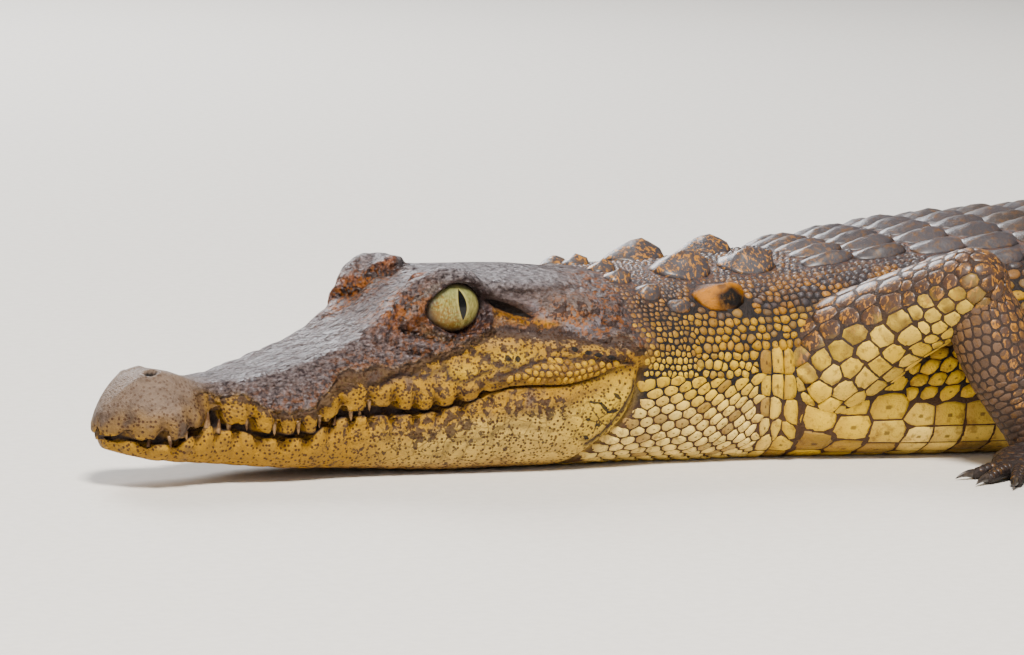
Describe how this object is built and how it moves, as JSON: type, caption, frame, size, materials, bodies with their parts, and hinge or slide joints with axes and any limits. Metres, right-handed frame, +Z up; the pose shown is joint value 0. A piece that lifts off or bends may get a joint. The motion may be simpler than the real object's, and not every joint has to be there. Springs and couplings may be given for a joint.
{
  "type": "crocodile",
  "caption": "Young crocodile, a still life-size model of the whole animal lying at rest: chin and belly on the floor, mouth shut, elbows bent up beside the body.",
  "frame": {"origin": "on the floor, under the middle of the belly", "axes": "+X runs from the snout to the tail, so the animal faces -X; its left side is towards -Y; +Z is up"},
  "size_m": [0.9873, 0.2765, 0.0617],
  "materials": {
    "back_skin": "grey-brown scaly skin with a dull sheen",
    "flank_skin": "mustard and cream scales on dark skin",
    "eye": "wet, pale green-gold iris with an upright slit pupil",
    "claw": "dark horn"
  },
  "bodies": {
    "root": {"head": "back_skin", "lower_jaw": "back_skin", "tail_root": "back_skin", "tail_middle": "back_skin", "tail_end": "back_skin", "left_front_upper_leg": "back_skin", "left_front_lower_leg": "back_skin", "left_front_foot": "back_skin", "left_hind_upper_leg": "back_skin", "left_hind_lower_leg": "back_skin", "left_hind_foot": "back_skin", "right_front_upper_leg": "back_skin", "right_front_lower_leg": "back_skin", "right_front_foot": "back_skin", "right_hind_upper_leg": "back_skin", "right_hind_lower_leg": "back_skin", "right_hind_foot": "back_skin", "neck": "flank_skin", "front_trunk": "flank_skin", "rear_trunk": "flank_skin", "left_eye": "eye", "right_eye": "eye", "left_front_claw_1": "claw", "left_front_claw_2": "claw", "left_front_claw_3": "claw", "left_hind_claw_1": "claw", "left_hind_claw_2": "claw", "left_hind_claw_3": "claw", "right_front_claw_1": "claw", "right_front_claw_2": "claw", "right_front_claw_3": "claw", "right_hind_claw_1": "claw", "right_hind_claw_2": "claw", "right_hind_claw_3": "claw"}
  },
  "joints": []
}
